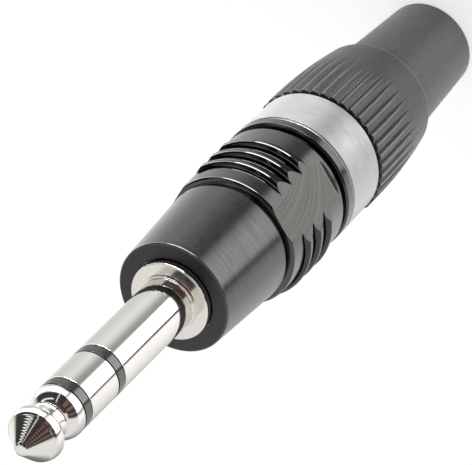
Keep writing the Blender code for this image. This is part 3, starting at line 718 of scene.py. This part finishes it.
def housing_outline():
    nose = [(MOUTH_R, FACE_Z, 0.05), (NOSE_FRONT_R, FACE_Z, 0.2), (NOSE_REAR_R, NOSE_REAR_Z + 0.06, 0.2),
            (7.15, NOSE_REAR_Z - 0.12, 0.08), (FRONT_GROOVE_R, NOSE_REAR_Z - 0.2, 0.1),
            (FRONT_GROOVE_R, SHOULDER_FRONT_Z + 0.12, 0.1), (7.7, SHOULDER_FRONT_Z, 0.08),
            (7.93, SHOULDER_FRONT_Z - 0.22, 0.4), (BAND_R + 0.008, SHOULDER_REAR_Z + 0.14)]
    ridges = []
    feet = (CREST_Z[1] + RIDGE_FRONT, CREST_Z[2] + RIDGE_FRONT, BAND_FRONT_Z)
    for crest, foot in zip(CREST_Z, feet):
        ridges += ridge_outline(crest, foot)[:-1]
    rear = [(BAND_R, BAND_FRONT_Z), (BAND_R, BAND_FRONT_Z - 0.14), (BAND_R, BAND_REAR_Z + 0.05, 0.14),
            (7.4, BAND_REAR_Z - 0.16, 0.12), (REAR_GROOVE_R, BAND_REAR_Z - 0.3, 0.16),
            (REAR_GROOVE_R, FLANGE_FRONT_Z + 0.12, 0.12), (7.86, FLANGE_FRONT_Z, 0.05),
            (FLANGE_R, FLANGE_FRONT_Z - 0.2, 0.05), (FLANGE_R, FLANGE_REAR_Z, 0.05),
            (REGISTER_R, FLANGE_REAR_Z), (REGISTER_R, RING_REAR_Z, 0.08)]
    inner = [(THREAD_BORE_R, RING_REAR_Z, 0.08), (THREAD_BORE_R, THREAD_TOP_Z), (RELIEF_R, THREAD_TOP_Z),
             (RELIEF_R, RELIEF_TOP_Z), (BORE_R, RELIEF_TOP_Z), (BORE_R, CLIP_GROOVE_REAR_Z),
             (CLIP_GROOVE_R, CLIP_GROOVE_REAR_Z), (CLIP_GROOVE_R, CLIP_GROOVE_FRONT_Z),
             (BORE_R, CLIP_GROOVE_FRONT_Z), (BORE_R, STOP_Z), (MOUTH_R, STOP_Z)]
    return rounded(nose + ridges + rear + inner)


def flat_cutter(name, azimuth):
    """A bar that cuts one flat, with a level cylinder's round along its rear edge."""
    top = CREST_R + 1.0
    profile = [(top, FLAT_FRONT_Z), (FLAT_DISTANCE, FLAT_FRONT_Z)]
    profile += arc(FLAT_DISTANCE + RUN_OUT_R, FLAT_REAR_Z, RUN_OUT_R, RUN_OUT_R, -180, -90, 12)
    profile.append((top, FLAT_REAR_Z - RUN_OUT_R))
    c, s = math.cos(math.radians(azimuth)), math.sin(math.radians(azimuth))
    rings = []
    for side in (-FLAT_HALF_WIDTH, FLAT_HALF_WIDTH):
        rings.append([((out * c - side * s) * MM, (out * s + side * c) * MM, z * MM) for out, z in profile])
    mesh = loft(name, rings, False)
    bm = bmesh.new()
    bm.from_mesh(mesh)
    bmesh.ops.holes_fill(bm, edges=bm.edges, sides=0)
    bmesh.ops.recalc_face_normals(bm, faces=bm.faces)
    bm.to_mesh(mesh)
    bm.free()
    return link(name, mesh)


def on_flat(face):
    """Tell whether a face of the housing is cut by a flat: 2 on the flat, 1 on its round, 0 elsewhere."""
    centre = face.calc_center_median() / MM
    for azimuth in FLAT_AZIMUTHS:
        c, s = math.cos(math.radians(azimuth)), math.sin(math.radians(azimuth))
        out = centre.x * c + centre.y * s
        across = face.normal.y * c - face.normal.x * s
        if face.normal.x * c + face.normal.y * s > 0.9999 and abs(out - FLAT_DISTANCE) < 0.01:
            return 2
        from_axis = math.hypot(out - FLAT_DISTANCE - RUN_OUT_R, centre.z - FLAT_REAR_Z)
        is_round = abs(across) < 0.01 and abs(from_axis - RUN_OUT_R) < 0.02
        if is_round and out > FLAT_DISTANCE and centre.z < FLAT_REAR_Z:
            return 1
    return 0


def build_housing():
    item = turned("housing_visual", housing_outline(), FINE)
    cutters = [flat_cutter(f"flat_cut_{i}", azimuth) for i, azimuth in enumerate(FLAT_AZIMUTHS)]
    cutters.append(box("keyway_cut", (-THREAD_BORE_R, -KEYWAY_HALF_WIDTH, KEYWAY_REAR_Z),
                       (THREAD_BORE_R, KEYWAY_HALF_WIDTH, KEYWAY_FRONT_Z)))
    carve(item, cutters)
    dress(item, "black_metal", "milled", "black_face")
    smooth(item)
    bm = bmesh.new()
    bm.from_mesh(item.data)
    for face in bm.faces:
        face.material_index = 0
        kind = on_flat(face)
        if kind:
            face.material_index = 1
            face.smooth = kind == 1
        elif face.normal.z > 0.9999 and face.calc_center_median().z / MM > FACE_Z - 0.01:
            face.material_index = 2
    for edge in bm.edges:
        kinds = {face.material_index == 1 for face in edge.link_faces}
        if len(kinds) == 2:
            edge.smooth = False
    bm.to_mesh(item.data)
    bm.free()
    return item


place(build_housing(), "plug", "black_metal", "housing")


# Coding ring

CODING_BORE_R = 7.05

coding_ring = turned("coding_ring_visual", rounded([
    (CODING_BORE_R, RING_FRONT_Z, 0.05), (7.80, RING_FRONT_Z, 0.04), (7.9, RING_FRONT_Z - 0.07, 0.03),
    (7.93, RING_FRONT_Z - 0.16, 0.03), (8.05, RING_FRONT_Z - 0.28, 0.05), (7.93, RING_REAR_Z + 0.14, 0.06),
    (7.8, RING_REAR_Z, 0.05), (CODING_BORE_R, RING_REAR_Z, 0.05)]), FINE)
smooth(coding_ring)
place(coding_ring, "plug", "silver", "coding_ring")


# Boot nut

FLUTE_POINTS = 12
FLUTE_DEPTH = 0.34
FLUTE_FLANK = 0.76
RIM_NOTCH = 0.16
RIM_NOTCH_LENGTH = 0.7
RIM_EDGE = 0.12
RIM_BEVEL = 0.035
RIM_FACE_R = 7.3
NUT_LENGTH = 13.5
NUT_RIM_R = 8.17
NUT_CROWN = 0.92
NUT_CROWN_POWER = 2.3
NUT_TAIL_R = 6.93
NUT_TAIL_ROUND = 0.5
CROWN_LENGTH = NUT_LENGTH - NUT_TAIL_ROUND
NECK_BORE_R = 5.1
SEAT_R = 5.6
SEAT_REAR_Z = 15.75
SEAT_FRONT_Z = 17.15
CHUCK_CONE_REAR_Z = 18.25
CHUCK_CONE_FRONT_Z = 25.25
THREAD_REAR_Z = NUT_RIM_Z + 0.25
THREAD_DEPTH = 0.45
THREAD_PITCH = 1.0
THREAD_LEAD = 0.3
THREAD_STEPS = 58


def nut_radius(depth):
    """The nut's crowned outline, by the depth behind its rim."""
    if depth <= CROWN_LENGTH:
        return NUT_RIM_R - NUT_CROWN * (depth / CROWN_LENGTH) ** NUT_CROWN_POWER
    turn = min(1.0, (depth - CROWN_LENGTH) / NUT_TAIL_ROUND)
    return NUT_TAIL_R + (NUT_RIM_R - NUT_CROWN - NUT_TAIL_R) * math.sqrt(1.0 - turn * turn)


def flute_cut(share, depth):
    """Depth of the flutes: a sharp groove, an even swell away from it and a steep flank before the next."""
    if share < FLUTE_FLANK:
        shape = 1.0 - math.sin(share / FLUTE_FLANK * math.pi / 2) ** 0.8
    else:
        shape = 1.0 - math.cos((share - FLUTE_FLANK) / (1.0 - FLUTE_FLANK) * math.pi / 2) ** 0.9
    run_out = max(0.0, (depth - 0.42 * FLUTE_LENGTH) / (0.58 * FLUTE_LENGTH)) ** 1.6
    rim = RIM_NOTCH * max(0.0, 1.0 - depth / RIM_NOTCH_LENGTH)
    return (FLUTE_DEPTH + rim) * max(0.0, shape - run_out)


def thread_radius(z, share_of_turn):
    """The nut's thread, which starts and ends at its root."""
    top = max(0.0, 1.0 - (THREAD_TOP_Z - z) / THREAD_LEAD)
    foot = max(0.0, 1.0 - (z - THREAD_REAR_Z) / THREAD_LEAD)
    turn = (z / THREAD_PITCH - share_of_turn) % 1.0
    crest = min(1.0, max(0.0, 1.3 * abs(2.0 * turn - 1.0) - 0.1))
    return THREAD_R - THREAD_DEPTH * max(1.0 - crest, top, foot)


def build_nut():
    count = FLUTES * FLUTE_POINTS
    angles = [math.radians(FLUTE_AZIMUTH) + math.tau * i / count for i in range(count)]
    shares = [(i % FLUTE_POINTS) / FLUTE_POINTS for i in range(count)]
    rings = []

    def add(radii, z):
        rings.append([(r * MM * math.cos(a), r * MM * math.sin(a), z * MM) for r, a in zip(radii, angles)])

    def plain(r, z):
        add([r] * count, z)

    def fluted_ring(depth, inset, z):
        add([nut_radius(depth) - inset - flute_cut(share, depth) for share in shares], z)

    flute_steps, crown_steps, round_steps = 26, 6, 12
    for k in range(flute_steps + 1):
        depth = RIM_EDGE + (FLUTE_LENGTH - RIM_EDGE) * k / flute_steps
        fluted_ring(depth, 0.0, NUT_RIM_Z - depth)
    for k in range(1, crown_steps + 1):
        depth = FLUTE_LENGTH + (CROWN_LENGTH - FLUTE_LENGTH) * k / crown_steps
        plain(nut_radius(depth), NUT_RIM_Z - depth)
    for k in range(1, round_steps + 1):
        depth = CROWN_LENGTH + NUT_TAIL_ROUND * math.sin(k / round_steps * math.pi / 2)
        plain(nut_radius(depth), NUT_RIM_Z - depth)
    bore = rounded([
        (6.9, NUT_TAIL_Z), (NECK_BORE_R, NUT_TAIL_Z, 0.08), (NECK_BORE_R, SEAT_REAR_Z),
        (SEAT_R, SEAT_REAR_Z), (SEAT_R, SEAT_FRONT_Z), (CABLE_BORE_R, SEAT_FRONT_Z),
        (CABLE_BORE_R, CHUCK_CONE_REAR_Z), (NUT_BORE_R, CHUCK_CONE_FRONT_Z),
        (NUT_BORE_R, THREAD_TOP_Z, 0.1), (5.2, THREAD_TOP_Z)])
    for r, z in bore[1:]:
        plain(r, z)
    for k in range(THREAD_STEPS + 1):
        z = THREAD_TOP_Z - (THREAD_TOP_Z - THREAD_REAR_Z) * k / THREAD_STEPS
        add([thread_radius(z, i / count) for i in range(count)], z)
    plain(THREAD_R - THREAD_DEPTH, NUT_RIM_Z)
    plain(RIM_FACE_R, NUT_RIM_Z)
    fluted_ring(0.0, RIM_EDGE, NUT_RIM_Z)
    fluted_ring(0.0, RIM_BEVEL, NUT_RIM_Z - RIM_BEVEL)
    return link("boot_nut_visual", loft("boot_nut_visual", rings, True))


def finish_nut(item):
    """Paint shade on the rim's front, where the gap to the coding ring lies in shadow, and a painted
    highlight on the tail's edge.
    """
    dress(item, "nut", "nut_rim_painted_shade", "nut_tail_painted_highlight")
    for face in item.data.polygons:
        centre = face.center / MM
        radius = math.hypot(centre.x, centre.y)
        # The rim's front faces get painted shade, and a ring at the tail's edge gets a painted highlight.
        if face.normal.z > 0.5 and centre.z > NUT_RIM_Z - 0.1 and radius > 7.2:
            face.material_index = 1
        elif NUT_TAIL_Z + 0.13 < centre.z < NUT_TAIL_Z + 0.33 and radius > 6.8:
            face.material_index = 2


nut = build_nut()
smooth(nut, 38.0)
finish_nut(nut)
place(nut, "boot", "nut", "boot_nut")


# Cable sleeve, from the flange held inside the nut to its rear end

sleeve = turned("cable_sleeve_visual", rounded([
    (CABLE_BORE_R, 16.95), (5.4, 16.95), (5.4, 15.95), (4.9, 15.95), (4.9, 14.0), (6.2, 14.0, 0.12),
    (6.2, 13.7), (6.04, 10.6), (5.67, 4.6), (5.43, 0.8), (5.38, 0.0, 0.5), (3.7, 0.0, 0.12),
    (CABLE_BORE_R, 0.3, 0.1)]), FINE)
smooth(sleeve)
place(sleeve, "boot", "sleeve", "cable_sleeve")


# Chuck

CHUCK_REAR_Z = 20.75
CHUCK_REAR_R = 3.614
CHUCK_TOP_Z = 45.45
GRIP_R = 3.1
TOOTH_R = 3.35
TOOTH_PITCH = 1.6
KEY_REAR_Z = 42.45
KEY_R = 5.7
KEY_HALF_WIDTH = 1.0
SLOT_HALF_WIDTH = 0.45
SLOT_FRONT_Z = 32.75


def build_chuck():
    inner = [(GRIP_R, CHUCK_REAR_Z)]
    for i in range(3):
        z = CHUCK_REAR_Z + 0.5 + TOOTH_PITCH * i
        inner += [(GRIP_R, z), (TOOTH_R, z + 0.25, 0.04), (TOOTH_R, z + 1.2, 0.04)]
    inner += [(GRIP_R, 26.05, 0.05), (GRIP_R, CHUCK_TOP_Z, 0.15)]
    outline = [(CHUCK_R, CHUCK_TOP_Z, 0.15), (CHUCK_R, CHUCK_CONE_FRONT_Z),
               (CHUCK_REAR_R, CHUCK_REAR_Z, 0.1)]
    item = turned("chuck_visual", rounded(outline + inner), COARSE)
    keys = [box("key_right", (4.05, -KEY_HALF_WIDTH, KEY_REAR_Z), (KEY_R, KEY_HALF_WIDTH, CHUCK_TOP_Z)),
            box("key_left", (-KEY_R, -KEY_HALF_WIDTH, KEY_REAR_Z), (-4.05, KEY_HALF_WIDTH, CHUCK_TOP_Z))]
    carve(item, keys, "UNION")
    slot_rear_z = CHUCK_REAR_Z - 1.0
    carve(item, [box("slot_x", (-5.5, -SLOT_HALF_WIDTH, slot_rear_z), (5.5, SLOT_HALF_WIDTH, SLOT_FRONT_Z)),
                 box("slot_y", (-SLOT_HALF_WIDTH, -5.5, slot_rear_z), (SLOT_HALF_WIDTH, 5.5, SLOT_FRONT_Z))])
    item.data.materials.clear()
    return item


chuck = build_chuck()
smooth(chuck)
place(chuck, "chuck", "chuck", "chuck")


# Inner pieces keep their CAD shape

for slot, nodes in (("insulator", ("rod_tube", "ring_tube", "front_washer", "rear_washer")),
                    ("tinned", ("ground_lug", "ring_lug", "tip_lug")),
                    ("spring_steel", ("retaining_ring",)),
                    ("carrier", ("insert_carrier",)),
                    ("liner", ("insulating_liner",))):
    for node in nodes:
        for material_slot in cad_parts[node].material_slots:
            material_slot.material = looks[slot]


# Camera

def add_camera():
    azimuth = math.radians(CAMERA_AZIMUTH)
    tilt = math.radians(CAMERA_TILT)
    roll = math.radians(CAMERA_ROLL)
    back = Vector((math.sin(tilt) * math.cos(azimuth), math.sin(tilt) * math.sin(azimuth), math.cos(tilt)))
    level = (-back).cross(Vector((0, 0, 1))).normalized()
    upright = level.cross(-back)
    right = math.cos(roll) * level + math.sin(roll) * upright
    up = math.cos(roll) * upright - math.sin(roll) * level
    data = bpy.data.cameras.new("camera")
    data.sensor_width = SENSOR_WIDTH
    data.lens = CAMERA_LENS
    data.clip_start = 0.01
    data.clip_end = 10.0
    camera = link("camera", data)
    turn = Matrix((right, up, back)).transposed().to_4x4()
    camera.matrix_world = Matrix.Translation((Vector(CAMERA_AIM) + back * CAMERA_DISTANCE) * MM) @ turn
    bpy.context.scene.camera = camera


add_camera()


# Floor, with its size in metres

FLOOR_SIZE = 3.0
FLOOR_GAP = 0.05
FLOOR_SEEN = 0.45
FLOOR_GLOW = 0.66
FLOOR_PLAIN = 0.8


def diffuse(n, grey):
    made = n.node("ShaderNodeBsdfDiffuse")
    made.inputs["Color"].default_value = (grey, grey, grey, 1.0)
    return made.outputs[0]


def seen_or_not(n, kind, unseen, seen):
    """Finish a tree with one shader for the camera's own rays and one for all others."""
    mix = n.node("ShaderNodeMixShader")
    n.feed(mix.inputs["Fac"], n.node("ShaderNodeLightPath").outputs["Is Camera Ray"])
    n.feed(mix.inputs[1], unseen)
    n.feed(mix.inputs[2], seen)
    n.feed(n.node(kind).inputs["Surface"], mix.outputs[0])


def add_floor():
    """A pale floor that looks nearly white, keeps the soft shadow and isn't mirrored in the metal."""
    bm = bmesh.new()
    bmesh.ops.create_grid(bm, x_segments=1, y_segments=1, size=FLOOR_SIZE)
    mesh = mesh_from(bm, "floor")
    floor = link("floor", mesh)
    floor.location.z = -FLOOR_GAP * MM
    floor.visible_glossy = False
    material = bpy.data.materials.new("pale_floor")
    material.use_nodes = True
    n = Nodes(material.node_tree)
    n.tree.nodes.clear()
    glow = n.node("ShaderNodeEmission")
    glow.inputs["Strength"].default_value = FLOOR_GLOW
    seen = n.node("ShaderNodeAddShader")
    n.feed(seen.inputs[0], diffuse(n, FLOOR_SEEN))
    n.feed(seen.inputs[1], glow.outputs[0])
    seen_or_not(n, "ShaderNodeOutputMaterial", diffuse(n, FLOOR_PLAIN), seen.outputs[0])
    mesh.materials.append(material)


add_floor()


# Light tent

# Its brightness by azimuth from the camera's: low down, on up to the horizon, and above it
TENT_LOW = ((-180, 0.72), (-158, 0.76), (-140, 0.9), (-120, 1.04), (-106, 1.12), (-84, 1.2), (-72, 1.25),
            (-58, 1.28), (-55, 1.28), (-53.5, 0.06), (-45.5, 0.06), (-44, 2.4), (9, 2.4), (13, 0.36),
            (24, 0.4), (36, 0.55), (48, 0.78), (60, 0.92), (72, 0.95), (84, 0.9), (108, 0.84), (130, 0.8),
            (150, 0.9), (180, 0.9))
TENT_MIDDLE = ((-180, 0.2), (-157, 0.22), (-147, 0.34), (-139, 0.5), (-125, 0.66), (-114, 0.76),
               (-103, 0.81), (-91, 0.94), (-80, 1.14), (-68, 1.25), (-60, 1.2), (-58, 0.42), (-50, 0.42),
               (-47, 2.7), (-10, 2.7), (4, 1.9), (14, 0.9), (22, 0.26), (36, 0.22), (48, 0.6), (60, 0.9),
               (70, 0.95), (80, 0.92), (92, 0.8), (114, 0.8), (126, 1.0), (145, 1.2), (180, 1.2))
TENT_ABOVE = ((-180, 0.9), (-66, 0.95), (-56, 0.04), (-50, 0.1), (-44, 0.22), (-38, 0.05), (-30, 0.1),
              (-22, 0.26), (-14, 0.05), (-4, 0.16), (4, 0.2), (14, 0.03), (37, 0.03), (38, 1.3), (40, 1.3),
              (41, 0.04), (118, 0.05), (132, 0.9), (180, 0.9))
NADIR = 0.15
ZENITH = 0.95
TENT_DARKEST = 0.05
TENT_BRIGHTEST = 4.0
# Where each layer takes over from the one below, as the sine of the elevation
LAYERS = ((TENT_LOW, -0.92, -0.86), (TENT_MIDDLE, -0.72, -0.67), (TENT_ABOVE, -0.09, -0.03),
          (ZENITH, 0.66, 0.72))
# Soft boxes and a dark flag: azimuth range from the camera's, elevation range and brightness
PANELS = ((22, 74, -33, -9, 21.0), (74, 130, -31, -10, 5.0), (52, 108, 24, 33, 1.2),
          (-34, 75, 40, 62, -0.85))
PANEL_EDGE = 3.0
# The tent's dark parts are warm from just below the horizon up, and only short of an azimuth
TENT_WARM = (1.0, 0.5, 0.4)
TENT_WHITE = (1.0, 0.995, 0.985)
WARM_END = 12.0
WARM_FADE = 12.0


def tent_level(n, stops, share):
    """Brightness from a ramp over the azimuth, or one value all round."""
    if not isinstance(stops, tuple):
        return stops
    made = n.node("ShaderNodeValToRGB")
    bar = made.color_ramp
    while len(bar.elements) < len(stops):
        bar.elements.new(0.5)
    for element, (angle, level) in zip(bar.elements, stops):
        grey = level / TENT_BRIGHTEST
        element.position = (angle + 180) / 360
        element.color = (grey, grey, grey, 1.0)
    n.feed(made.inputs["Fac"], share)
    return n.maths("MULTIPLY", made.outputs["Color"], TENT_BRIGHTEST)


def inside(n, value, low, high):
    """1 inside a range and 0 outside, with soft edges."""
    rise = n.maths("DIVIDE", n.maths("SUBTRACT", value, low), PANEL_EDGE, True)
    fall = n.maths("DIVIDE", n.maths("SUBTRACT", high, value), PANEL_EDGE, True)
    return n.maths("MULTIPLY", rise, fall)


def add_world():
    """A light tent round the object. The camera itself sees plain white."""
    world = bpy.data.worlds.new("light_tent")
    world.use_nodes = True
    n = Nodes(world.node_tree)
    n.tree.nodes.clear()
    spin = n.node("ShaderNodeVectorRotate", rotation_type="Z_AXIS")
    spin.inputs["Angle"].default_value = -math.radians(CAMERA_AZIMUTH)
    n.feed(spin.inputs["Vector"], n.node("ShaderNodeTexCoord").outputs["Generated"])
    axes = n.split(spin.outputs[0])
    turn = n.maths("ARCTAN2", axes["Y"], axes["X"])
    share = n.maths("ADD", n.maths("DIVIDE", turn, math.tau), 0.5)
    strength = NADIR
    for stops, low, high in LAYERS:
        change = n.maths("SUBTRACT", tent_level(n, stops, share), strength)
        strength = n.maths("ADD", strength, n.maths("MULTIPLY", change, n.span(axes["Z"], low, high)))
    azimuth = n.maths("MULTIPLY", turn, 180 / math.pi)
    elevation = n.maths("MULTIPLY", n.maths("ARCSINE", axes["Z"]), 180 / math.pi)
    for left, right, low, high, bright in PANELS:
        cover = n.maths("MULTIPLY", inside(n, azimuth, left, right), inside(n, elevation, low, high))
        strength = n.maths("ADD", strength, n.maths("MULTIPLY", cover, bright))
    strength = n.maths("MAXIMUM", strength, TENT_DARKEST)
    below = n.maths("MULTIPLY", n.maths("ADD", axes["Z"], 0.1), -20.0, True)
    beside = n.maths("DIVIDE", n.maths("SUBTRACT", azimuth, WARM_END), WARM_FADE, True)
    lit = n.maths("MULTIPLY", strength, 2.5)
    neutral = n.maths("MAXIMUM", lit, n.maths("MAXIMUM", below, beside), True)
    tent = n.node("ShaderNodeBackground")
    n.feed(tent.inputs["Color"], n.mix(neutral, TENT_WARM, TENT_WHITE))
    n.feed(tent.inputs["Strength"], strength)
    white = n.node("ShaderNodeBackground")
    white.inputs["Color"].default_value = (1, 1, 1, 1)
    seen_or_not(n, "ShaderNodeOutputWorld", tent.outputs[0], white.outputs[0])
    bpy.context.scene.world = world


add_world()


# Lamp, with its size and distance in metres and its power in watts

LAMP_AZIMUTH = math.radians(120.0)
LAMP_ELEVATION = math.radians(55.0)
LAMP_DISTANCE = 0.6
LAMP_SIZE = 0.4
LAMP_POWER = 0.6


def add_lamp():
    """A soft lamp from behind that gives the shadow and isn't mirrored in the metal."""
    data = bpy.data.lights.new("soft_lamp", "AREA")
    data.size = LAMP_SIZE
    data.energy = LAMP_POWER
    lamp = link("soft_lamp", data)
    level = math.cos(LAMP_ELEVATION)
    towards = (level * math.cos(LAMP_AZIMUTH), level * math.sin(LAMP_AZIMUTH), math.sin(LAMP_ELEVATION))
    spot = Vector(towards) * LAMP_DISTANCE
    lamp.location = spot
    lamp.rotation_euler = spot.to_track_quat("Z", "Y").to_euler()
    lamp.visible_glossy = False


add_lamp()

bpy.context.scene.view_settings.view_transform = "Standard"
